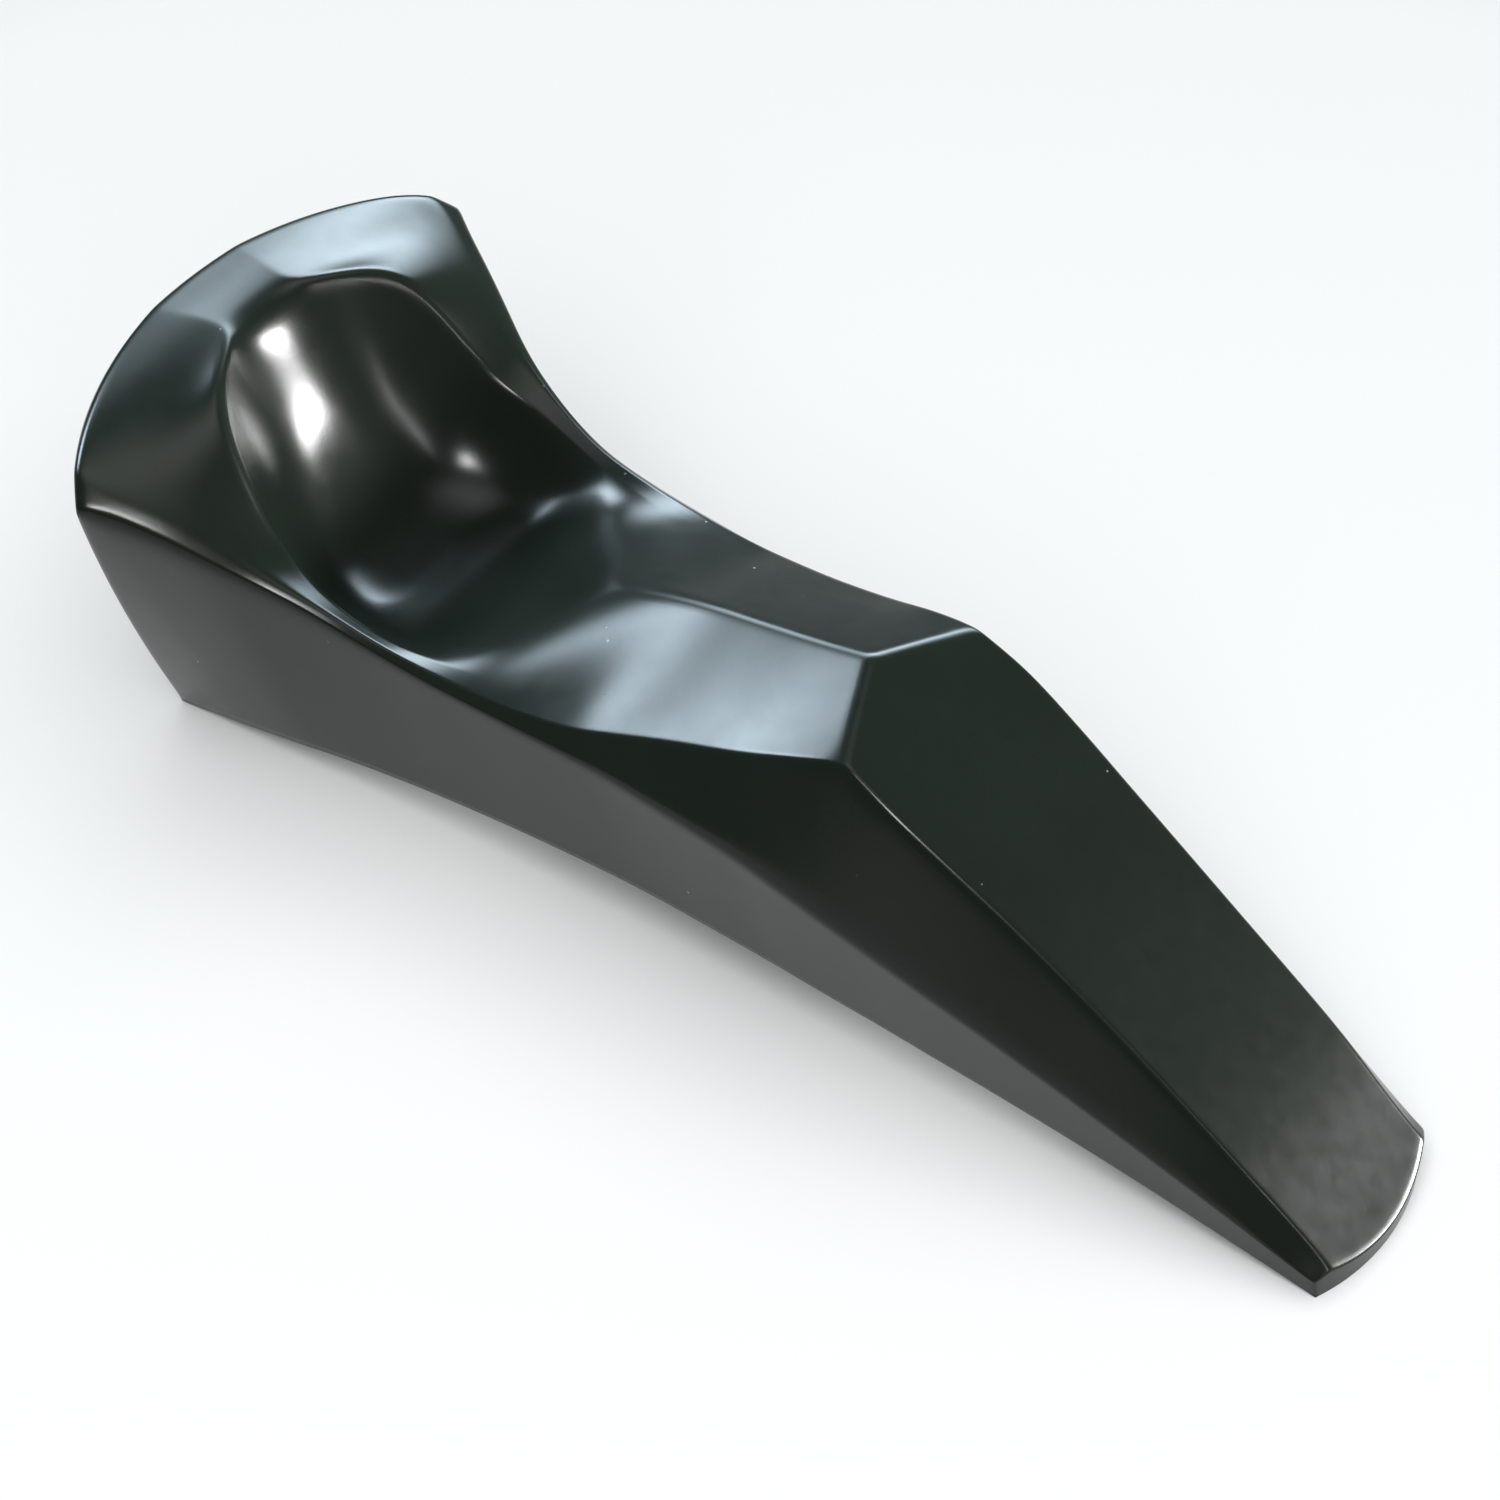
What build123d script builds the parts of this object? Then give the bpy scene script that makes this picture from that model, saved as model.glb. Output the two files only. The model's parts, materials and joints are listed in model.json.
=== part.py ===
from build123d import *
import bisect
import math
import os

# Stick-on shoulder rest for a telephone handset, millimetres.
# X runs from the raised head (-X) to the thin tail (+X), Y across, +Z up.
# The origin is the middle of the footprint, on the plane that the rest stands on.
# The body is mirror-symmetric about Y = 0.

# ---- driving dimensions ----
LENGTH = 178.0           # head to tail
HALF = LENGTH / 2
WALL = 2.4               # moulded shell wall
HEAD_RADIUS = 55.0       # the head's back wall is part of a slightly leaning cone
HEAD_LEAN = 2.5          # how much smaller that radius is at the foot
LIP_HEIGHT = 57.0        # the head's radius is measured at this height
HEAD_CENTRE_X = -HALF + HEAD_RADIUS
HEAD_CONE_TOP = 80.0     # the cone is cut off above the highest point
TAIL_END_RADIUS = 29.4   # the tail's thin end is a shallow arc in plan
TAIL_END_WALL = 6.4      # the thin end is closed by a thicker wall

# The underside is a shallow arch that follows a handset's curved back.
ARCH_RISE = 10.5
ARCH_HEAD_X = -82.0      # the arch springs here, from the flat land under the head
ARCH_TAIL_X = 86.0       # and here, from the flat land under the tail
LAND_DEPTH = 30.0        # how far the arch tool reaches below the standing plane
LAND_REACH_X = 120.0     # and how far it reaches past both ends

# Rigid mounting plate, pressed up into the open underside
PLATE_THICKNESS = 2.0
PLATE_RECESS = 1.2       # its face lies this far inside the shell's lower edge
PLATE_CLEARANCE = 0.25   # all round, to the shell
PLATE_HEAD_X = -80.0
PLATE_TAIL_X = 74.0
RIB_THICKNESS = 1.6      # upright ribs on the plate's upper side
RIB_HEIGHT = 6.0
RIB_HALF_SPAN = 7.0
RIB_STATIONS = (-62.0, -36.0, -10.0, 16.0, 42.0)

# Double-sided foam pads and the liners over them
PAD_THICKNESS = 1.4
PAD_LENGTH = 38.0
PAD_WIDTH = 19.0
PAD_CORNER = 2.5
PAD_CENTRES = {"head": -48.0, "tail": 36.0}
LINER_THICKNESS = 0.3
LINER_BORDER = 0.6       # the liner overhangs the pad by this much
LINER_TAB_LENGTH = 7.0   # finger tab past the pad's end
LINER_TAB_WIDTH = 10.0
BAND_MARGIN = 2.0        # pads and liners are cut from bands this much longer
OUTLINE_HEIGHT = 60.0    # of the upright block that cuts their outline

# Cutting tools reach well past the body.
TOOL_WIDTH = 120.0
END_TOOL_LENGTH = 200.0
END_TOOL_HEIGHT = 80.0
END_TOOL_MIDDLE = 30.0   # height of that tool's middle

# ---- the body's cross-sections ----
# Each row: x, height on the centre line, the bowl curve's power, then four points down one side:
# the inner edge (half width, height), the shoulder, the side face's rim, and the foot's half width.
BODY_SECTIONS = [
    (-98.0, 57.6, 2.0, (8.0, 57.7), (42.0, 55.4), (46.0, 53.0), 18.8),
    (-89.0, 58.0, 2.0, (8.0, 58.1), (37.5, 55.8), (41.5, 53.2), 17.8),
    (-81.0, 58.7, 2.0, (6.5, 58.8), (34.0, 55.9), (38.4, 53.0), 17.3),
    (-77.0, 58.6, 2.0, (6.0, 58.8), (32.6, 55.3), (36.9, 52.7), 17.0),
    (-75.0, 55.9, 2.0, (8.0, 58.7), (31.9, 54.6), (36.0, 52.3), 16.9),
    (-73.0, 50.6, 2.1, (11.4, 58.5), (31.3, 53.7), (35.0, 51.5), 16.8),
    (-70.0, 44.0, 2.4, (15.0, 57.4), (30.2, 52.2), (33.4, 50.2), 16.6),
    (-67.0, 39.4, 2.7, (17.2, 55.0), (29.1, 50.6), (31.9, 48.8), 16.4),
    (-64.0, 35.9, 3.0, (18.4, 51.4), (28.0, 48.7), (30.4, 47.1), 16.2),
    (-60.9, 33.0, 3.4, (19.2, 47.2), (26.9, 46.5), (28.8, 45.2), 16.0),
    (-57.1, 30.8, 4.0, (19.7, 43.2), (25.3, 44.0), (26.9, 43.0), 15.7),
    (-50.6, 29.3, 4.6, (20.4, 39.8), (23.3, 41.0), (24.6, 40.1), 15.3),
    (-45.5, 29.5, 4.4, (20.2, 37.9), (22.2, 38.9), (23.4, 38.1), 15.0),
    (-40.5, 31.2, 3.8, (19.6, 36.8), (21.5, 37.5), (22.6, 36.7), 14.7),
    (-35.5, 34.2, 3.0, (18.8, 36.6), (21.1, 36.9), (22.2, 36.0), 14.4),
    (-30.0, 37.4, 2.2, (18.0, 36.9), (20.6, 36.7), (21.8, 35.6), 14.1),
    (-24.0, 40.8, 1.5, (17.2, 37.6), (20.1, 36.8), (21.5, 35.4), 13.8),
    (-15.0, 44.4, 1.1, (15.5, 39.0), (19.1, 37.7), (21.1, 35.2), 13.4),
    (-9.6, 46.0, 1.0, (14.0, 40.7), (18.1, 39.1), (21.0, 35.2), 13.2),
    (-1.4, 47.7, 1.0, (12.5, 43.0), (16.6, 41.5), (21.2, 34.9), 13.0),
    (6.6, 49.4, 1.0, (11.5, 45.4), (15.6, 43.9), (21.4, 34.5), 12.9),
    (14.4, 51.4, 1.0, (10.6, 48.0), (14.5, 46.8), (21.4, 33.1), 12.8),
    (20.4, 53.2, 1.0, (10.0, 49.7), (13.5, 48.4), (21.1, 31.3), 12.8),
    (27.0, 55.0, 1.0, (9.4, 51.0), (14.0, 45.1), (20.5, 28.9), 12.7),
    (34.7, 57.0, 1.0, (8.8, 52.5), (13.6, 40.7), (19.7, 26.0), 12.7),
    (42.4, 59.0, 1.0, (8.2, 54.5), (13.0, 36.0), (18.8, 23.1), 12.6),
    (57.6, 61.0, 1.0, (7.8, 57.0), (12.3, 26.0), (16.8, 16.5), 12.5),
    (72.7, 63.0, 1.0, (7.4, 60.0), (11.9, 15.4), (15.1, 9.9), 12.4),
    (87.5, 65.0, 1.0, (7.0, 62.5), (11.4, 3.8), (13.1, 2.7), 12.3),
    (95.0, 66.0, 1.0, (7.0, 63.5), (11.2, 0.6), (12.5, 0.3), 12.2),
]
FOOT_Z = -2.0            # the sections run below the standing plane and are trimmed
LOFT_START = -98.0       # the loft runs past both ends and is trimmed there
LOFT_END = 92.0
LOFT_STATIONS = 57       # evenly spaced sections, read off the rows above
BOWL_STEPS = 4           # spans of the bowl curve, from the centre line to the inner edge
CAVITY_STEPS = 7         # spans of the cavity's roof, from the centre line to its corner
CAVITY_PROBES = (-1.0, -0.7, 0.0, 0.7, 1.0)    # shares of the inset at which the top is probed
ROUNDING = 0.001
CAVITY_CORNER = 1.4      # the cavity's corner lies this many walls inside the rim

# The tail's flat top, as a side view (x, z), from above the crest to the thin end
TAIL_TOP = [
    (8.0, 54.0), (14.4, 51.4), (20.4, 48.4), (27.0, 45.1), (34.7, 40.7), (42.4, 36.0),
    (50.0, 31.1), (57.6, 26.0), (72.7, 15.4), (87.5, 3.8), (95.0, -1.8),
]
TAIL_CUT_TOP = 75.0


def flat_row(row):
    """One row of BODY_SECTIONS as a plain list of numbers, without its x."""
    _, centre, power, inner, shoulder, rim, foot = row
    return [centre, power, *inner, *shoulder, *rim, foot]


def slope_at(k, widths, steps):
    """The slope at row k that keeps a curve through the rows free of overshoot."""
    if k == 0:
        return steps[0]
    if k == len(steps):
        return steps[-1]
    before, after = steps[k - 1], steps[k]
    if before * after <= 0:
        return 0.0
    near = 2 * widths[k] + widths[k - 1]
    far = widths[k] + 2 * widths[k - 1]
    return (near + far) / (near / before + far / after)


def read_between(xs, ys, x):
    """A smooth value at x, between the rows' values ys at xs."""
    widths = [b - a for a, b in zip(xs, xs[1:])]
    steps = [(b - a) / w for a, b, w in zip(ys, ys[1:], widths)]
    i = min(max(bisect.bisect_right(xs, x) - 1, 0), len(widths) - 1)
    t = (x - xs[i]) / widths[i]
    start = slope_at(i, widths, steps) * widths[i]
    end = slope_at(i + 1, widths, steps) * widths[i]
    value = (2 * t**3 - 3 * t**2 + 1) * ys[i] + (t**3 - 2 * t**2 + t) * start
    return value + (3 * t**2 - 2 * t**3) * ys[i + 1] + (t**3 - t**2) * end


def row_at(x):
    """A section's measurements at any x, in the order of BODY_SECTIONS."""
    xs = [row[0] for row in BODY_SECTIONS]
    columns = zip(*[flat_row(row) for row in BODY_SECTIONS])
    v = [read_between(xs, list(column), x) for column in columns]
    return (x, v[0], v[1], (v[2], v[3]), (v[4], v[5]), (v[6], v[7]), v[8])


def top_height(row, y):
    """Height of a section's top at half width y."""
    _, centre, power, inner, shoulder, rim, _ = row
    if y < inner[0]:
        return centre + (inner[1] - centre) * (y / inner[0]) ** power
    if y < shoulder[0]:
        t = (y - inner[0]) / (shoulder[0] - inner[0])
        return inner[1] + (shoulder[1] - inner[1]) * t
    t = min((y - shoulder[0]) / (rim[0] - shoulder[0]), 1.0)
    return shoulder[1] + (rim[1] - shoulder[1]) * t


def outer_top(row):
    """The outer section's top: points of the bowl curve, then the shoulder and the rim."""
    _, _, _, inner, shoulder, rim, foot = row
    widths = [inner[0] * k / BOWL_STEPS for k in range(BOWL_STEPS)]
    curve = [(y, top_height(row, y)) for y in widths]
    return curve + [inner], [shoulder, rim, (foot, FOOT_Z)]


def cavity_top(x, inset):
    """The cavity section's top, at least inset inside the outer form in every direction."""
    rows = {along: row_at(x + along * inset) for along in CAVITY_PROBES}
    _, _, _, _, _, rim, foot = rows[0.0]
    corner = rim[0] - CAVITY_CORNER * inset
    curve = []
    for k in range(CAVITY_STEPS + 1):
        y = corner * k / CAVITY_STEPS
        heights = []
        for along in CAVITY_PROBES:
            for across in CAVITY_PROBES:
                rest = 1 - along**2 - across**2
                if rest > -ROUNDING:
                    drop = inset * math.sqrt(max(rest, 0.0))
                    heights.append(top_height(rows[along], abs(y + across * inset)) - drop)
        curve.append((y, min(heights)))
    return curve, [(foot - inset, FOOT_Z)]


def section_face(x, inset):
    """One closed cross-section at x: the outer form's, or with an inset the cavity's."""
    curve, corners = cavity_top(x, inset) if inset else outer_top(row_at(x))

    def at(point, side):
        return Vector(x, side * point[0], point[1])

    edges = []
    for side in (1, -1):
        edges.append(Spline(*[at(p, side) for p in curve]))
        for start, end in zip([curve[-1]] + corners, corners):
            edges.append(Line(at(start, side), at(end, side)))
    edges.append(Line(at(corners[-1], 1), at(corners[-1], -1)))
    return Face(Wire(edges))


def head_trim(inset):
    """Everything in front of the head's leaning, round back wall."""
    lower = HEAD_RADIUS - HEAD_LEAN - inset
    upper = HEAD_RADIUS + HEAD_LEAN * (HEAD_CONE_TOP - LIP_HEIGHT) / LIP_HEIGHT - inset
    cone = Pos(HEAD_CENTRE_X, 0, HEAD_CONE_TOP / 2) * Cone(lower, upper, HEAD_CONE_TOP)
    front = Pos(HEAD_CENTRE_X + HALF, 0, HEAD_CONE_TOP / 2) * Box(LENGTH, TOOL_WIDTH, HEAD_CONE_TOP)
    return cone + front


def tail_cut(inset):
    """The space above the tail's flat top, inset lower for the inside."""
    spline = Spline(*[Vector(px, 0, pz - inset) for px, pz in TAIL_TOP])
    first, last = spline @ 0, spline @ 1
    high_last = Vector(last.X, 0, TAIL_CUT_TOP)
    high_first = Vector(first.X, 0, TAIL_CUT_TOP)
    lid = Polyline(last, high_last, high_first, first)
    outline = Wire([spline] + list(lid.edges()))
    return extrude(Face(outline), amount=TOOL_WIDTH / 2, dir=(0, 1, 0), both=True)


def body(inset):
    """The full outer form, or the cavity's form when inset is the wall."""
    step = (LOFT_END - LOFT_START) / LOFT_STATIONS
    stations = [LOFT_START + step * k for k in range(LOFT_STATIONS + 1)]
    faces = [section_face(x, inset) for x in stations]
    solid = loft(faces)
    solid = solid & head_trim(inset)
    return solid - tail_cut(inset)


def arch_height(x):
    """Height of the arched lower edge at x."""
    half_span = (ARCH_TAIL_X - ARCH_HEAD_X) / 2
    radius = (half_span ** 2 + ARCH_RISE ** 2) / (2 * ARCH_RISE)
    offset = x - (ARCH_TAIL_X + ARCH_HEAD_X) / 2
    return math.sqrt(radius ** 2 - offset ** 2) - (radius - ARCH_RISE)


def arch_band(x_start, x_end, low, high, half_width):
    """A curved slab between two offsets above the arched lower edge."""
    x_mid = (x_start + x_end) / 2

    def arc(offset):
        return [Vector(x, 0, arch_height(x) + offset) for x in (x_start, x_mid, x_end)]

    bottom = arc(low)
    top = arc(high)
    edges = [
        ThreePointArc(*bottom),
        Line(bottom[-1], top[-1]),
        ThreePointArc(*top),
        Line(top[0], bottom[0]),
    ]
    return extrude(Face(Wire(edges)), amount=half_width, dir=(0, 1, 0), both=True)


def below_arch():
    """Everything below the arched underside and the two flat lands."""
    arc = ThreePointArc(
        (ARCH_HEAD_X, 0, 0), ((ARCH_HEAD_X + ARCH_TAIL_X) / 2, 0, ARCH_RISE), (ARCH_TAIL_X, 0, 0)
    )
    rest = Polyline(
        (ARCH_TAIL_X, 0, 0), (LAND_REACH_X, 0, 0), (LAND_REACH_X, 0, -LAND_DEPTH),
        (-LAND_REACH_X, 0, -LAND_DEPTH), (-LAND_REACH_X, 0, 0), (ARCH_HEAD_X, 0, 0),
    )
    outline = Wire(list(arc.edges()) + list(rest.edges()))
    return extrude(Face(outline), amount=TOOL_WIDTH / 2, dir=(0, 1, 0), both=True)


def tail_end(inset):
    """Everything behind the shallow plan arc that ends the tail."""
    centre = HALF - TAIL_END_RADIUS - inset
    disc = Pos(centre, 0, END_TOOL_MIDDLE) * Cylinder(TAIL_END_RADIUS, END_TOOL_HEIGHT)
    block = Box(END_TOOL_LENGTH, TOOL_WIDTH, END_TOOL_HEIGHT)
    return disc + Pos(centre - END_TOOL_LENGTH / 2, 0, END_TOOL_MIDDLE) * block


def make_shell():
    outer = (body(0) & tail_end(0)) - below_arch()
    inner = body(WALL) & tail_end(TAIL_END_WALL)
    return outer - inner


def make_plate():
    slot = body(WALL + PLATE_CLEARANCE)
    low = PLATE_RECESS
    high = PLATE_RECESS + PLATE_THICKNESS
    plate = slot & arch_band(PLATE_HEAD_X, PLATE_TAIL_X, low, high, TOOL_WIDTH / 2)
    for x in RIB_STATIONS:
        base = arch_height(x) + low + PLATE_THICKNESS / 2
        rib = Pos(x, 0, base + RIB_HEIGHT / 2) * Box(RIB_THICKNESS, 2 * RIB_HALF_SPAN, RIB_HEIGHT)
        plate = plate + rib
    return plate


def pad_outline(centre_x, length, width, corner):
    """A tall rounded block that cuts pads and liners to outline."""
    block = Pos(centre_x, 0, 0) * Box(length, width, OUTLINE_HEIGHT)
    return fillet(block.edges().filter_by(Axis.Z), corner)


def make_pad(centre_x):
    low = PLATE_RECESS - PAD_THICKNESS
    reach = PAD_LENGTH / 2 + BAND_MARGIN
    band = arch_band(centre_x - reach, centre_x + reach, low, PLATE_RECESS, PAD_WIDTH)
    return band & pad_outline(centre_x, PAD_LENGTH, PAD_WIDTH, PAD_CORNER)


def make_liner(centre_x):
    high = PLATE_RECESS - PAD_THICKNESS
    low = high - LINER_THICKNESS
    reach = PAD_LENGTH / 2 + LINER_TAB_LENGTH + BAND_MARGIN
    band = arch_band(centre_x - reach, centre_x + reach, low, high, PAD_WIDTH)
    length = PAD_LENGTH + 2 * LINER_BORDER
    width = PAD_WIDTH + 2 * LINER_BORDER
    sheet = pad_outline(centre_x, length, width, PAD_CORNER)
    tab_centre = centre_x + length / 2 + LINER_TAB_LENGTH / 2 - PAD_CORNER
    tab_length = LINER_TAB_LENGTH + 2 * PAD_CORNER
    tab = pad_outline(tab_centre, tab_length, LINER_TAB_WIDTH, PAD_CORNER)
    return band & (sheet + tab)


def write(shape, name):
    os.makedirs("parts", exist_ok=True)
    export_step(shape, "parts/" + name + ".step")


write(make_shell(), "outer_shell")
write(make_plate(), "mounting_plate")
for end, x_centre in PAD_CENTRES.items():
    write(make_pad(x_centre), "adhesive_pad_" + end)
    write(make_liner(x_centre), "release_liner_" + end)
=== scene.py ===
import bpy
import json
import math
import numpy as np
from mathutils import Matrix, Vector

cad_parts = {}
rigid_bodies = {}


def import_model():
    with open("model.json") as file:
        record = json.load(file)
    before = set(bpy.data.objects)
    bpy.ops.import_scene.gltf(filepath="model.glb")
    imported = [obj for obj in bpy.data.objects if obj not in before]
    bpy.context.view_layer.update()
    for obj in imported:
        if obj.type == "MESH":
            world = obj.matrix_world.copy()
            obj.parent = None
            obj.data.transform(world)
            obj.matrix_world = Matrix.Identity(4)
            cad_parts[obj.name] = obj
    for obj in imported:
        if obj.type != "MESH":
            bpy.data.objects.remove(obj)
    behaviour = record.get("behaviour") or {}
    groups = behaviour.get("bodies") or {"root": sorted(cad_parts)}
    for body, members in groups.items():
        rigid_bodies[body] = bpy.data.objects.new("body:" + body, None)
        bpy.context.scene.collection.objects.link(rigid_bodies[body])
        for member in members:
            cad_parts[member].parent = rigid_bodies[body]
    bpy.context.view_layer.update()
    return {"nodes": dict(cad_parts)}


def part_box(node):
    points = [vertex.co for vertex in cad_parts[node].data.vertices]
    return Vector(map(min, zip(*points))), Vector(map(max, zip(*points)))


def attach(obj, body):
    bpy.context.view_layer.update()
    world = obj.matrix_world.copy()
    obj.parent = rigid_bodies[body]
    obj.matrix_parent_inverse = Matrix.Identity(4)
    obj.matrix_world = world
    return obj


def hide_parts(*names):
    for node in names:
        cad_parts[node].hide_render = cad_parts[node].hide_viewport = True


# A stick-on shoulder rest for a telephone handset: one glossy moulded shell over a mounting plate,
# two foam pads and their liners. The shell and the pads are worked out in millimetres about the
# middle of the footprint, and to_frame() brings them to the frame's metres. The stage is in metres.

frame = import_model()

# ---- the shell's form ----
LENGTH = 178.0           # the length that the rows are written for, in mm
SHELL_LOW, SHELL_HIGH = (Vector(corner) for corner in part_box("outer_shell"))
SCALE = (SHELL_HIGH.x - SHELL_LOW.x) / LENGTH
HALF = LENGTH / 2

# x from the middle of the footprint, height on the centre line, the bowl curve's power,
# inner edge (half width, height), shoulder, rim, half width at the foot
BODY_SECTIONS = [
    (-98.0, 57.6, 2.0, (8.0, 57.7), (42.0, 55.4), (46.0, 53.0), 18.8),
    (-89.0, 58.0, 2.0, (8.0, 58.1), (37.5, 55.8), (41.5, 53.2), 17.8),
    (-81.0, 58.7, 2.0, (6.5, 58.8), (34.0, 55.9), (38.4, 53.0), 17.3),
    (-77.0, 58.6, 2.0, (6.0, 58.8), (32.6, 55.3), (36.9, 52.7), 17.0),
    (-75.0, 55.9, 2.0, (8.0, 58.7), (31.9, 54.6), (36.0, 52.3), 16.9),
    (-73.0, 50.6, 2.1, (11.4, 58.5), (31.3, 53.7), (35.0, 51.5), 16.8),
    (-70.0, 44.0, 2.4, (15.0, 57.4), (30.2, 52.2), (33.4, 50.2), 16.6),
    (-67.0, 39.4, 2.7, (17.2, 55.0), (29.1, 50.6), (31.9, 48.8), 16.4),
    (-64.0, 35.9, 3.0, (18.4, 51.4), (28.0, 48.7), (30.4, 47.1), 16.2),
    (-60.9, 33.0, 3.4, (19.2, 47.2), (26.9, 46.5), (28.8, 45.2), 16.0),
    (-57.1, 30.8, 4.0, (19.7, 43.2), (25.3, 44.0), (26.9, 43.0), 15.7),
    (-50.6, 29.3, 4.6, (20.4, 39.8), (23.3, 41.0), (24.6, 40.1), 15.3),
    (-45.5, 29.5, 4.4, (20.2, 37.9), (22.2, 38.9), (23.4, 38.1), 15.0),
    (-40.5, 31.2, 3.8, (19.6, 36.8), (21.5, 37.5), (22.6, 36.7), 14.7),
    (-35.5, 34.2, 3.0, (18.8, 36.6), (21.1, 36.9), (22.2, 36.0), 14.4),
    (-30.0, 37.4, 2.2, (18.0, 36.9), (20.6, 36.7), (21.8, 35.6), 14.1),
    (-24.0, 40.8, 1.5, (17.2, 37.6), (20.1, 36.8), (21.5, 35.4), 13.8),
    (-15.0, 44.4, 1.1, (15.5, 39.0), (19.1, 37.7), (21.1, 35.2), 13.4),
    (-9.6, 46.0, 1.0, (14.0, 40.7), (18.1, 39.1), (21.0, 35.2), 13.2),
    (-1.4, 47.7, 1.0, (12.5, 43.0), (16.6, 41.5), (21.2, 34.9), 13.0),
    (6.6, 49.4, 1.0, (11.5, 45.4), (15.6, 43.9), (21.4, 34.5), 12.9),
    (14.4, 51.4, 1.0, (10.6, 48.0), (14.5, 46.8), (21.4, 33.1), 12.8),
    (20.4, 53.2, 1.0, (10.0, 49.7), (13.5, 48.4), (21.1, 31.3), 12.8),
    (27.0, 55.0, 1.0, (9.4, 51.0), (14.0, 45.1), (20.5, 28.9), 12.7),
    (34.7, 57.0, 1.0, (8.8, 52.5), (13.6, 40.7), (19.7, 26.0), 12.7),
    (42.4, 59.0, 1.0, (8.2, 54.5), (13.0, 36.0), (18.8, 23.1), 12.6),
    (57.6, 61.0, 1.0, (7.8, 57.0), (12.3, 26.0), (16.8, 16.5), 12.5),
    (72.7, 63.0, 1.0, (7.4, 60.0), (11.9, 15.4), (15.1, 9.9), 12.4),
    (87.5, 65.0, 1.0, (7.0, 62.5), (11.4, 3.8), (13.1, 2.7), 12.3),
    (95.0, 66.0, 1.0, (7.0, 63.5), (11.2, 0.6), (12.5, 0.3), 12.2),
]
# the tail's flat top: x, height
TAIL_TOP = [
    (8.0, 54.0), (14.4, 51.4), (20.4, 48.4), (27.0, 45.1), (34.7, 40.7), (42.4, 36.0),
    (50.0, 31.1), (57.6, 26.0), (72.7, 15.4), (87.5, 3.8), (95.0, -1.8),
]
CREST_CENTRE = 14.4      # the ridge meets the flat tail top here
CREST_EDGE = 20.4        # and the roof's shoulders meet it here
FOOT_DEPTH = 2.0         # the side faces are drawn to this far below the standing plane
HEAD_RADIUS = 55.0       # the back wall is part of an upright cone, of this radius at the lip
HEAD_LEAN = 2.5          # and this much less at the foot
LIP_HEIGHT = 57.0
TAIL_END_RADIUS = 29.4   # in plan
ARCH_RISE = 10.5         # mm, the most that the lower edge rises between the two ends
ARCH_START, ARCH_END = -82.0, 86.0         # x where it leaves the floor and meets it again
WALL = 2.4
THIN_SHARE, THIN_LEAST = 0.3, 0.2          # near the foot: this share of the height, plus this many mm
THIN_HEIGHT = 1.0        # mm, the height below which it gets no thinner

# ---- how finely the shell is made ----
FINE_STEP = 0.5          # mm between the rows that are read off BODY_SECTIONS
COLUMN_BLUR = 1.2        # mm, evens out the rows along the length
BLUR_REACH = 3           # of those blurs to each side
NO_CUT = 1000.0          # mm, a height above everything
STATION_PASSES = 12      # turns for finding where a line ends
BACK_GUESS = -75.0       # x that the search for the back wall starts from
BACK_CROWN = 1.5         # how soon the lip's curve fades out down the back wall
SLICES_FRONT, SLICES_TAIL = 170, 110       # from the back wall to the crest, and on to the tail's end
LINES = {"bowl": 20, "facet": 18, "chamfer": 12, "side": 30}
MERGE_DECIMALS = 4       # points that agree to this many decimals of a mm are one point
EDGE_PASSES = 4          # each pass rounds every edge a little more
RIM_PASSES = 14          # and these round the head's rim alone
RIM_END, RIM_FADE = -30.0, 22.0            # the rim's softening ends at this x, over this length
RIM_REACH = 5.0          # mm inside and below the rim that the softening takes in
BACK_REACH = 6.0         # mm in front of the back wall over which it is held back
# ---- the foam pads ----
PAD_CENTRES = {"head": -48.0, "tail": 36.0}
PAD_LENGTH, PAD_WIDTH, PAD_THICKNESS = 38.0, 19.0, 1.4
PAD_LOW = -0.2           # the pad's lower face, from the arched lower edge
PAD_SQUARENESS = 9       # the higher, the tighter the outline's corners
PAD_POINTS = 120
OUTLINE_SAMPLES = 4001
# the inset and the level of each ring, from the lower face to the upper one
PAD_PROFILE = [
    (8.8, 0.0), (6.0, 0.0), (3.0, 0.0), (1.0, 0.0), (0.35, 0.0), (0.16, 0.04), (0.04, 0.2), (0.0, 0.5),
    (0.04, 0.8), (0.16, 0.96), (0.35, 1.0), (1.0, 1.0), (3.0, 1.0), (6.0, 1.0), (8.8, 1.0),
]

# ---- stage, in metres ----
FLOOR_SIZE = 3.0
FLOOR_GAP = 0.00005      # keeps the floor clear of the foot that stands on it
FLOOR_PAINTED_SHADE_START, FLOOR_PAINTED_SHADE_FULL = 0.22, 0.60   # white up to the first, and painted shade that makes it grey from the second
WORLD_COLOUR = (0.15, 0.18, 0.185, 1)
LIGHT_EDGE = 0.4         # of a light's width, over which it fades out at each side
LIGHT_TARGET = Vector((0, 0, 0.035))
SKY = (0.72, 0.88, 1.0)
WHITE = (1.0, 1.0, 1.0)
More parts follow.
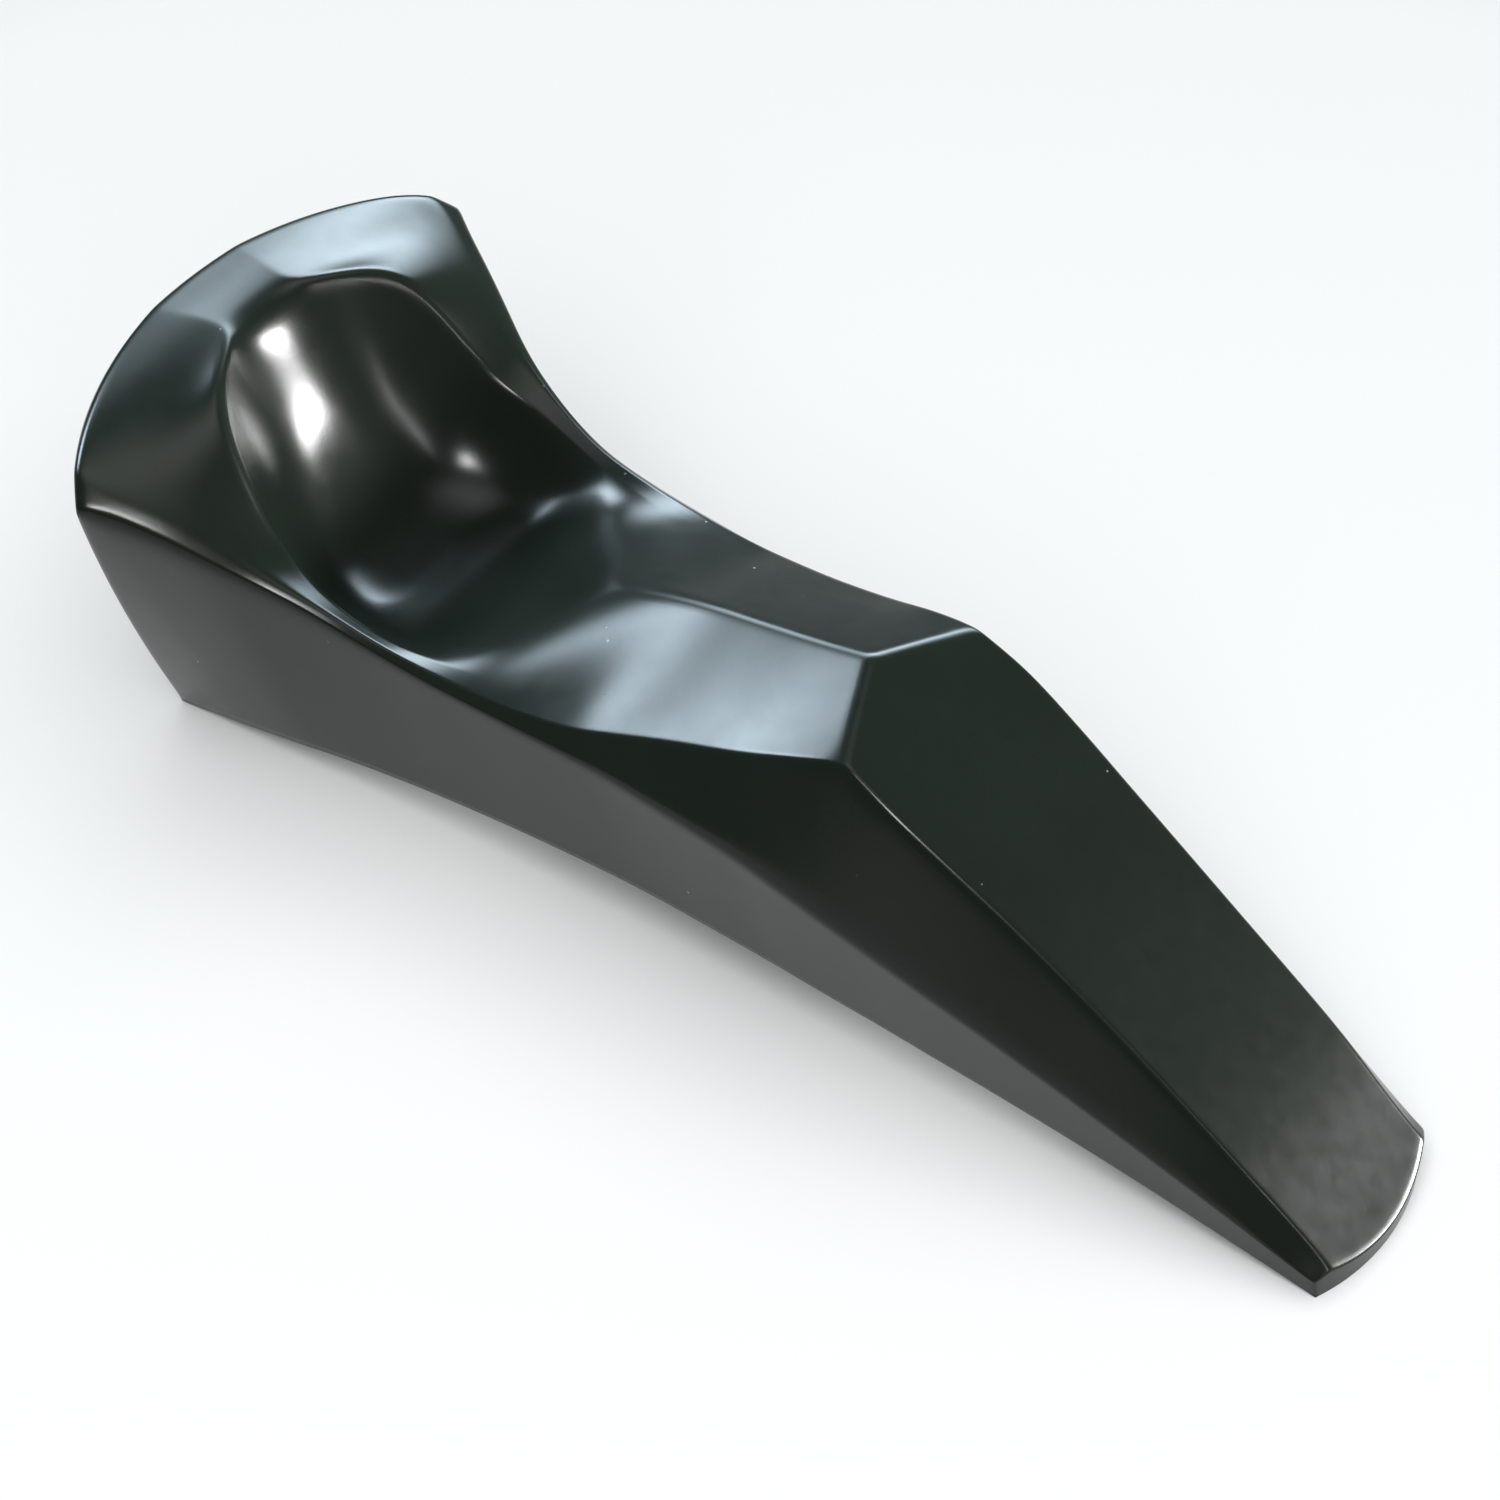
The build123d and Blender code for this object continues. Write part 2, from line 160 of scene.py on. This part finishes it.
# name, azimuth, elevation, distance, (width, height), radiance, colour
MODEL_LIGHTS = [
    ("window", 183, 37, 1.2, (0.84, 0.46), 50.0, SKY),
    ("between_windows", 154, 38, 1.25, (0.80, 0.60), 3.0, SKY),
    ("side_window", 118, 31, 1.2, (1.35, 0.62), 29.0, SKY),
    ("lamp", 37, 4, 1.2, (0.50, 0.27), 260.0, WHITE),
    ("strip_lamp", -17, 20, 1.2, (0.08, 0.85), 34.0, WHITE),
    ("front_lamp", -52, 45, 1.4, (0.40, 0.40), 70.0, WHITE),
    ("ceiling", -20, 84, 1.6, (1.8, 1.8), 2.3, WHITE),
]
FLOOR_LIGHTS = [
    ("floor_top", -20, 84, 1.6, (2.3, 2.3), 1.5, WHITE),
    ("floor_fill", -60, 52, 1.6, (1.6, 1.6), 2.0, WHITE),
]
CAMERA_AZIMUTH, CAMERA_ELEVATION = 35.8, 47.0
CAMERA_LENS, CAMERA_SENSOR = 78.24, 36
CAMERA_PLACE = Vector((155.5, -219.25, 314.9))     # mm, scaled with the shell


def smooth_columns():
    """The rows of BODY_SECTIONS read at small steps along the length, without kinks."""
    stations = np.array([row[0] for row in BODY_SECTIONS])
    flat = np.array([[row[1], row[2], *row[3], *row[4], *row[5], row[6]] for row in BODY_SECTIONS])
    fine = np.arange(stations[0], stations[-1] + FINE_STEP / 2, FINE_STEP)
    columns = np.array([monotone(stations, flat[:, k], fine) for k in range(flat.shape[1])])
    reach = int(BLUR_REACH * COLUMN_BLUR / FINE_STEP)
    offsets = np.arange(-reach, reach + 1)
    weights = np.exp(-0.5 * (offsets * FINE_STEP / COLUMN_BLUR) ** 2)
    weights = weights / weights.sum()
    padded = np.pad(columns, ((0, 0), (reach, reach)), mode="reflect", reflect_type="odd")
    blurred = np.array([np.convolve(column, weights, mode="valid") for column in padded])
    return fine, blurred


def monotone(xs, ys, x):
    """A smooth curve through the points (xs, ys) that never overshoots them, read at x."""
    widths = np.diff(xs)
    steps = np.diff(ys) / widths
    slopes = np.empty(len(xs))
    slopes[0], slopes[-1] = steps[0], steps[-1]
    for k in range(1, len(xs) - 1):
        before, after = steps[k - 1], steps[k]
        if before * after <= 0:
            slopes[k] = 0.0
        else:
            near = 2 * widths[k] + widths[k - 1]
            far = widths[k] + 2 * widths[k - 1]
            slopes[k] = (near + far) / (near / before + far / after)
    i = np.clip(np.searchsorted(xs, x) - 1, 0, len(xs) - 2)
    t = (x - xs[i]) / widths[i]
    rise = (2 * t**3 - 3 * t**2 + 1) * ys[i] + (3 * t**2 - 2 * t**3) * ys[i + 1]
    return rise + ((t**3 - 2 * t**2 + t) * slopes[i] + (t**3 - t**2) * slopes[i + 1]) * widths[i]


FINE, COLUMNS = smooth_columns()
TAIL_X = np.array([point[0] for point in TAIL_TOP])
TAIL_Z = np.array([point[1] for point in TAIL_TOP])


def tail_height(x):
    """The height that the tail's flat top cuts the body at."""
    return np.where(x > TAIL_X[0], monotone(TAIL_X, TAIL_Z, np.maximum(x, TAIL_X[0])), NO_CUT)


def arch_height(x):
    """The arched lower edge's height at x."""
    half = (ARCH_END - ARCH_START) / 2
    radius = (half**2 + ARCH_RISE**2) / (2 * ARCH_RISE)
    offset = x - (ARCH_START + ARCH_END) / 2
    rise = np.sqrt(np.maximum(radius**2 - offset**2, 0.0)) - (radius - ARCH_RISE)
    return np.where(np.abs(offset) < half, np.maximum(rise, 0.0), 0.0)


def section_point(line, x):
    """(half width, height) where a lengthwise line crosses the section at x."""
    part, t = line
    c, power, fy, fz, ey, ez, ry, rz, foot = (np.interp(x, FINE, column) for column in COLUMNS)
    if part == "bowl":
        y, z = fy * t, c + (fz - c) * t**power
    elif part == "facet":
        y, z = fy + (ey - fy) * t, fz + (ez - fz) * t
    elif part == "chamfer":
        y, z = ey + (ry - ey) * t, ez + (rz - ez) * t
    else:
        low = arch_height(x)
        full = (rz - low) / (rz + FOOT_DEPTH)
        y, z = ry + (foot - ry) * full * t, rz + (low - rz) * t
    return y, np.minimum(z, tail_height(x))


def back_wall_x(y, z):
    """The head's leaning, round back wall in plan."""
    radius = HEAD_RADIUS - HEAD_LEAN * (1 - z / LIP_HEIGHT)
    return HEAD_RADIUS - HALF - np.sqrt(np.maximum(radius**2 - y**2, 1.0))


def tail_end_x(y, z):
    """The tail's rounded end in plan; it stands upright, so it is the same at every z."""
    return HALF - TAIL_END_RADIUS + np.sqrt(TAIL_END_RADIUS**2 - y**2)


def end_station(line, wall_x, guess):
    """Where a line meets the wall at one end."""
    x = np.float64(guess)
    for _ in range(STATION_PASSES):
        x = wall_x(*section_point(line, x))
    return x


def crest_station(line):
    """Where a line crosses from the roof to the tail's flat top."""
    part, _ = line
    if part in ("chamfer", "side"):
        return CREST_EDGE
    y, _ = section_point(line, np.float64(CREST_EDGE))
    edge, _ = section_point(("facet", 1.0), np.float64(CREST_EDGE))
    return CREST_CENTRE + (CREST_EDGE - CREST_CENTRE) * y / edge


def half_lines():
    """The lengthwise lines from the centre line down to the foot, on one side."""
    lines = [(part, k / count) for part, count in LINES.items() for k in range(count)]
    return lines + [("side", 1.0)]


def half_grid(lines):
    """Points of the outer surface on the +Y side, one row for each line, in mm."""
    rows = []
    for line in lines:
        start = end_station(line, back_wall_x, BACK_GUESS)
        crest = crest_station(line)
        end = end_station(line, tail_end_x, HALF)
        front = np.linspace(start, crest, SLICES_FRONT + 1)
        tail = np.linspace(crest, end, SLICES_TAIL + 1)[1:]
        x = np.concatenate([front, tail])
        y, z = section_point(line, x)
        rows.append(np.stack([x, y, z], axis=1))
    return np.array(rows)


def end_wall(border_top, border_side, crown, wall_x):
    """A wall that closes one end, from its top edge down to the foot; wall_x gives x from y and z."""
    rows = []
    corner = border_top[-1]
    depth = np.linspace(0, 1, len(border_side))
    for w, side in zip(depth, border_side):
        y = side[1] * border_top[:, 1] / corner[1]
        z = side[2] + (border_top[:, 2] - corner[2]) * (1 - w) ** crown
        rows.append(np.stack([wall_x(y, z), y, z], axis=1))
    rows[0] = border_top.copy()
    wall = np.array(rows)
    wall[:, -1] = border_side
    return wall


def grid_quads(grid, flip):
    """The grid's points, and its quads as corner indices."""
    rows, columns = grid.shape[:2]
    index = np.arange(rows * columns).reshape(rows, columns)
    corners = [index[:-1, :-1], index[:-1, 1:], index[1:, 1:], index[1:, :-1]]
    quads = np.stack([c.ravel() for c in corners], axis=1)
    return grid.reshape(-1, 3), quads[:, ::-1] if flip else quads


def outer_surface():
    """Points and quads of the whole outer surface, open along the foot."""
    lines = half_lines()
    grid = half_grid(lines)
    top_count = len(lines) - LINES["side"]
    top, side_face = grid[:top_count], grid[top_count - 1:]
    back = end_wall(top[:, 0], side_face[:, 0], BACK_CROWN, back_wall_x)
    tail = end_wall(top[:, -1], side_face[:, -1], 1.0, tail_end_x)
    points, quads, count = [], [], 0
    for side in (1, -1):
        for patch, flip in ((grid, False), (back, False), (tail, True)):
            mirrored = patch * np.array([1, side, 1])
            patch_points, patch_quads = grid_quads(mirrored, flip == (side == 1))
            points.append(patch_points)
            quads.append(patch_quads + count)
            count += len(patch_points)
    return merge_points(np.concatenate(points), np.concatenate(quads))


def merge_points(points, quads):
    """Joins points that lie in the same place, and drops quads that close up."""
    keys = np.round(points, MERGE_DECIMALS) + 0.0
    _, first, inverse = np.unique(keys, axis=0, return_index=True, return_inverse=True)
    merged = inverse.ravel()[quads]
    whole = np.array([len(set(quad)) == 4 for quad in merged.tolist()])
    return points[first], merged[whole]


def rim_softness(points):
    """How much a point takes part in the softening of the head's rim, from 0 to 1."""
    x, y, z = points[:, 0], np.abs(points[:, 1]), points[:, 2]
    shoulder_y, rim_z = (np.interp(x, FINE, COLUMNS[k]) for k in (4, 7))
    lengthwise = np.clip((RIM_END - x) / RIM_FADE, 0, 1)
    inside = np.clip((y - shoulder_y) / RIM_REACH + 1, 0, 1)
    below = np.clip((z - rim_z) / RIM_REACH + 2, 0, 1)
    ahead = np.clip((x - back_wall_x(y, z)) / BACK_REACH, 0, 1)
    return lengthwise * inside * below * ahead


def round_edges(points, quads):
    """Draws the points towards their neighbours, which rounds the edges; the foot stays.

    Gives the points, and the pairs of points along the foot.
    """
    pairs = np.concatenate([quads[:, [k, (k + 1) % 4]] for k in range(4)])
    pairs = np.sort(pairs, axis=1)
    unique, uses = np.unique(pairs, axis=0, return_counts=True)
    free = np.ones(len(points), bool)
    free[unique[uses == 1].ravel()] = False
    soft = rim_softness(points)
    for turn in range(EDGE_PASSES + RIM_PASSES):
        rate = np.where(free, 0.5, 0.0) * (1.0 if turn < EDGE_PASSES else soft)
        total = np.zeros_like(points)
        count = np.zeros(len(points))
        for a, b in ((0, 1), (1, 0)):
            np.add.at(total, unique[:, a], points[unique[:, b]])
            np.add.at(count, unique[:, a], 1)
        mean = total / count[:, None]
        points = points + (mean - points) * rate[:, None]
    return points, unique[uses == 1]


def point_normals(points, quads):
    """The outward direction at every point."""
    a, b, c, d = (points[quads[:, k]] for k in range(4))
    face = np.cross(c - a, d - b)
    normals = np.zeros_like(points)
    for k in range(4):
        np.add.at(normals, quads[:, k], face)
    return normals / np.maximum(np.linalg.norm(normals, axis=1), 1e-9)[:, None]


def shell_geometry():
    """The closed shell: outer surface, inner surface and the land that joins them at the foot."""
    points, quads = outer_surface()
    points, border = round_edges(points, quads)
    normals = point_normals(points, quads)
    wall = np.minimum(WALL, THIN_SHARE * np.maximum(points[:, 2], THIN_HEIGHT) + THIN_LEAST)
    inner = points - normals * wall[:, None]
    on_border = np.zeros(len(points), bool)
    on_border[border.ravel()] = True
    inner[on_border, 2] = points[on_border, 2]
    count = len(points)
    faces = [tuple(quad) for quad in quads.tolist()]
    faces += [tuple(n + count for n in reversed(quad)) for quad in quads.tolist()]
    directed = set()
    for quad in quads.tolist():
        directed.update(zip(quad, quad[1:] + quad[:1]))
    for a, b in border.tolist():
        if (a, b) not in directed:
            a, b = b, a
        faces.append((b, a, a + count, b + count))
    return np.concatenate([points, inner]), faces


def to_frame(points):
    """Millimetres from the middle of the footprint to the frame's metres."""
    placed = points * SCALE
    placed[:, 0] += (SHELL_LOW.x + SHELL_HIGH.x) / 2
    placed[:, 2] += SHELL_LOW.z
    return placed


def new_object(name, points, faces):
    mesh = bpy.data.meshes.new(name)
    mesh.from_pydata([tuple(p) for p in points.tolist()], [], faces)
    mesh.validate()
    mesh.polygons.foreach_set("use_smooth", [True] * len(mesh.polygons))
    piece = bpy.data.objects.new(name, mesh)
    bpy.context.scene.collection.objects.link(piece)
    return piece


def build_shell():
    points, faces = shell_geometry()
    shell = new_object("moulded_shell", to_frame(points), faces)
    shell.data.materials.append(shell_material())
    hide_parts("outer_shell")
    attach(shell, "rest")


def pad_outline(length, width):
    """A rounded rectangle about the origin, as evenly spaced points."""
    angles = np.linspace(0, 2 * np.pi, OUTLINE_SAMPLES)
    bend = 2 / PAD_SQUARENESS
    x = length / 2 * np.sign(np.cos(angles)) * np.abs(np.cos(angles)) ** bend
    y = width / 2 * np.sign(np.sin(angles)) * np.abs(np.sin(angles)) ** bend
    run = np.concatenate([[0], np.cumsum(np.hypot(np.diff(x), np.diff(y)))])
    even = np.linspace(0, run[-1], PAD_POINTS + 1)[:-1]
    return np.interp(even, run, x), np.interp(even, run, y)


def build_pad(end, material):
    """A die-cut foam pad that follows the arch: flat faces, and sides that bulge a little under load."""
    rings = []
    for inset, level in PAD_PROFILE:
        x, y = pad_outline(PAD_LENGTH - 2 * inset, PAD_WIDTH - 2 * inset)
        x = x + PAD_CENTRES[end]
        rings.append(np.stack([x, y, arch_height(x) + PAD_LOW + level * PAD_THICKNESS], axis=1))
    points = np.concatenate(rings)
    faces = [tuple(reversed(range(PAD_POINTS)))]
    for low in range(0, len(points) - PAD_POINTS, PAD_POINTS):
        high = low + PAD_POINTS
        for k in range(PAD_POINTS):
            after = (k + 1) % PAD_POINTS
            faces.append((low + k, low + after, high + after, high + k))
    faces.append(tuple(range(len(points) - PAD_POINTS, len(points))))
    pad = new_object("foam_pad_" + end, to_frame(points), faces)
    pad.data.materials.append(material)
    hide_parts("adhesive_pad_" + end)
    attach(pad, "rest")


# ---- materials ----
def new_material(name):
    material = bpy.data.materials.new(name)
    material.use_nodes = True
    nodes = material.node_tree.nodes
    return material, nodes, material.node_tree.links, nodes["Principled BSDF"]


def noise(nodes, links, scale, detail, coordinates):
    texture = nodes.new("ShaderNodeTexNoise")
    texture.inputs["Scale"].default_value = scale
    texture.inputs["Detail"].default_value = detail
    links.new(coordinates.outputs["Object"], texture.inputs["Vector"])
    return texture


def remap(nodes, links, value, source, target):
    """Maps a texture's value from one range to another."""
    node = nodes.new("ShaderNodeMapRange")
    node.inputs["From Min"].default_value, node.inputs["From Max"].default_value = source
    node.inputs["To Min"].default_value, node.inputs["To Max"].default_value = target
    links.new(value, node.inputs["Value"])
    return node.outputs["Result"]


def shell_material():
    """Charcoal-black gloss moulding: a slightly uneven gloss, a faint ripple and specks of dust."""
    material, nodes, links, shader = new_material("charcoal_gloss_moulding")
    place = nodes.new("ShaderNodeTexCoord")
    tone = noise(nodes, links, 60, 4, place)
    mix = nodes.new("ShaderNodeMix")
    mix.data_type = "RGBA"
    mix.inputs["A"].default_value = (0.0044, 0.0062, 0.0044, 1)
    mix.inputs["B"].default_value = (0.0064, 0.0088, 0.0066, 1)
    links.new(tone.outputs["Fac"], mix.inputs["Factor"])
    specks = nodes.new("ShaderNodeTexVoronoi")
    specks.inputs["Scale"].default_value = 260
    links.new(place.outputs["Object"], specks.inputs["Vector"])
    dust = remap(nodes, links, specks.outputs["Distance"], (0.035, 0.06), (1, 0))
    sparse = noise(nodes, links, 90, 2, place)
    thin = remap(nodes, links, sparse.outputs["Fac"], (0.56, 0.62), (0, 1))
    both = nodes.new("ShaderNodeMath")
    both.operation = "MULTIPLY"
    links.new(dust, both.inputs[0])
    links.new(thin, both.inputs[1])
    dusted = nodes.new("ShaderNodeMix")
    dusted.data_type = "RGBA"
    dusted.inputs["B"].default_value = (0.16, 0.17, 0.17, 1)
    links.new(both.outputs["Value"], dusted.inputs["Factor"])
    links.new(mix.outputs["Result"], dusted.inputs["A"])
    links.new(dusted.outputs["Result"], shader.inputs["Base Color"])
    rough = noise(nodes, links, 420, 5, place)
    links.new(remap(nodes, links, rough.outputs["Fac"], (0.3, 0.7), (0.20, 0.23)), shader.inputs["Roughness"])
    ripple = noise(nodes, links, 1600, 2, place)
    bump = nodes.new("ShaderNodeBump")
    bump.inputs["Strength"].default_value = 0.04
    bump.inputs["Distance"].default_value = 0.0001
    links.new(ripple.outputs["Fac"], bump.inputs["Height"])
    links.new(bump.outputs["Normal"], shader.inputs["Normal"])
    shader.inputs["IOR"].default_value = 1.5
    shader.inputs["Specular IOR Level"].default_value = 0.2
    return material


def plain_material(name, dark, light, scale, roughness, bump_height):
    """A fine-grained material between two colours."""
    material, nodes, links, shader = new_material(name)
    place = nodes.new("ShaderNodeTexCoord")
    grain = noise(nodes, links, scale, 6, place)
    mix = nodes.new("ShaderNodeMix")
    mix.data_type = "RGBA"
    mix.inputs["A"].default_value = (*dark, 1)
    mix.inputs["B"].default_value = (*light, 1)
    links.new(grain.outputs["Fac"], mix.inputs["Factor"])
    links.new(mix.outputs["Result"], shader.inputs["Base Color"])
    links.new(remap(nodes, links, grain.outputs["Fac"], (0.3, 0.7), roughness), shader.inputs["Roughness"])
    bump = nodes.new("ShaderNodeBump")
    bump.inputs["Strength"].default_value = 0.5
    bump.inputs["Distance"].default_value = bump_height
    links.new(grain.outputs["Fac"], bump.inputs["Height"])
    links.new(bump.outputs["Normal"], shader.inputs["Normal"])
    return material


def dress_node(name, material):
    data = frame["nodes"][name].data
    data.materials.clear()
    data.materials.append(material)


def dress_frame():
    dress_node("mounting_plate", plain_material(
        "satin_black_plate", (0.014, 0.015, 0.016), (0.024, 0.025, 0.027), 900, (0.42, 0.55), 0.00004))
    foam = plain_material("pad_foam", (0.52, 0.51, 0.48), (0.68, 0.67, 0.63), 2400, (0.8, 0.95), 0.0002)
    paper = plain_material("liner_paper", (0.74, 0.73, 0.67), (0.83, 0.82, 0.77), 500, (0.35, 0.5), 0.00002)
    for end in ("head", "tail"):
        build_pad(end, foam)
        dress_node("release_liner_" + end, paper)


# ---- stage ----
def soften_edges(lamp):
    """Lets a rectangular light fade out towards its edges, as a curtained window does."""
    lamp.use_nodes = True
    nodes, links = lamp.node_tree.nodes, lamp.node_tree.links
    place = nodes.new("ShaderNodeNewGeometry")
    split = nodes.new("ShaderNodeSeparateXYZ")
    links.new(place.outputs["Parametric"], split.inputs["Vector"])
    both = nodes.new("ShaderNodeMath")
    both.operation = "MULTIPLY"
    for k, axis in enumerate(("X", "Y")):
        centred = nodes.new("ShaderNodeMath")
        centred.operation = "SUBTRACT"
        centred.inputs[1].default_value = 0.5
        links.new(split.outputs[axis], centred.inputs[0])
        away = nodes.new("ShaderNodeMath")
        away.operation = "ABSOLUTE"
        links.new(centred.outputs["Value"], away.inputs[0])
        fade = remap(nodes, links, away.outputs["Value"], (0.5 - LIGHT_EDGE, 0.5), (1, 0))
        links.new(fade, both.inputs[k])
    links.new(both.outputs["Value"], nodes["Emission"].inputs["Strength"])


def area_light(name, azimuth, elevation, distance, size, radiance, colour):
    """A rectangular light that looks at the object."""
    turn, rise = math.radians(azimuth), math.radians(elevation)
    away = Vector((math.cos(turn) * math.cos(rise), math.sin(turn) * math.cos(rise), math.sin(rise)))
    lamp = bpy.data.lights.new(name, "AREA")
    lamp.shape = "RECTANGLE"
    lamp.size, lamp.size_y = size
    lamp.energy = radiance * math.pi * size[0] * size[1]
    lamp.color = colour
    light = bpy.data.objects.new(name, lamp)
    bpy.context.scene.collection.objects.link(light)
    light.location = LIGHT_TARGET + away * distance
    light.rotation_euler = away.to_track_quat("Z", "Y").to_euler()
    return light


def floor_material():
    """Matt white near the object that falls off to grey away from it; the grey is painted shade, as if the
    light fell off with distance.
    """
    material, nodes, links, shader = new_material("studio_floor_white_with_painted_shade")
    place = nodes.new("ShaderNodeTexCoord")
    reach = nodes.new("ShaderNodeVectorMath")
    reach.operation = "LENGTH"
    links.new(place.outputs["Object"], reach.inputs[0])
    # painted shade: the floor darkens from white to grey with distance from the object, standing in for light
    # that falls off
    span = (FLOOR_PAINTED_SHADE_START, FLOOR_PAINTED_SHADE_FULL)
    fade = remap(nodes, links, reach.outputs["Value"], span, (0, 1))
    mix = nodes.new("ShaderNodeMix")
    mix.data_type = "RGBA"
    mix.inputs["A"].default_value = (0.90, 0.90, 0.90, 1)
    # the grey of the painted shade far from the object
    mix.inputs["B"].default_value = (0.32, 0.31, 0.305, 1)
    links.new(fade, mix.inputs["Factor"])
    links.new(mix.outputs["Result"], shader.inputs["Base Color"])
    shader.inputs["Roughness"].default_value = 0.9
    shader.inputs["Specular IOR Level"].default_value = 0.1
    return material


def build_floor():
    corners = [(-1, -1), (1, -1), (1, 1), (-1, 1)]
    level = SHELL_LOW.z - FLOOR_GAP
    points = np.array([(x * FLOOR_SIZE, y * FLOOR_SIZE, level) for x, y in corners])
    floor = new_object("studio_floor", points, [(0, 1, 2, 3)])
    floor.data.materials.append(floor_material())
    return floor


def build_world():
    world = bpy.data.worlds.new("studio_world")
    world.use_nodes = True
    world.node_tree.nodes["Background"].inputs["Color"].default_value = WORLD_COLOUR
    bpy.context.scene.world = world


def build_lights(floor):
    """Soft-edged lights that only the object receives, and plain ones that only the floor does."""
    model = bpy.data.collections.new("model_only")
    for piece in bpy.context.scene.objects:
        if piece.type == "MESH" and piece is not floor:
            model.objects.link(piece)
    ground = bpy.data.collections.new("floor_only")
    ground.objects.link(floor)
    for row in MODEL_LIGHTS:
        light = area_light(*row)
        light.light_linking.receiver_collection = model
        soften_edges(light.data)
    for row in FLOOR_LIGHTS:
        light = area_light(*row)
        light.light_linking.receiver_collection = ground
        light.visible_glossy = False


def build_camera():
    """The camera looks down along the tail, from the near side of it."""
    azimuth, elevation = math.radians(CAMERA_AZIMUTH), math.radians(CAMERA_ELEVATION)
    back = Vector((
        math.sin(azimuth) * math.cos(elevation),
        -math.cos(azimuth) * math.cos(elevation),
        math.sin(elevation),
    ))
    right = Vector((math.cos(azimuth), math.sin(azimuth), 0))
    up = back.cross(right)
    data = bpy.data.cameras.new("camera")
    data.sensor_width = CAMERA_SENSOR
    data.lens = CAMERA_LENS
    camera = bpy.data.objects.new("camera", data)
    bpy.context.scene.collection.objects.link(camera)
    turn = Matrix((right, up, back)).transposed().to_4x4()
    camera.matrix_world = Matrix.Translation(CAMERA_PLACE * SCALE) @ turn
    bpy.context.scene.camera = camera


build_shell()
dress_frame()
build_world()
build_lights(build_floor())
build_camera()
bpy.context.scene.view_settings.view_transform = "Standard"
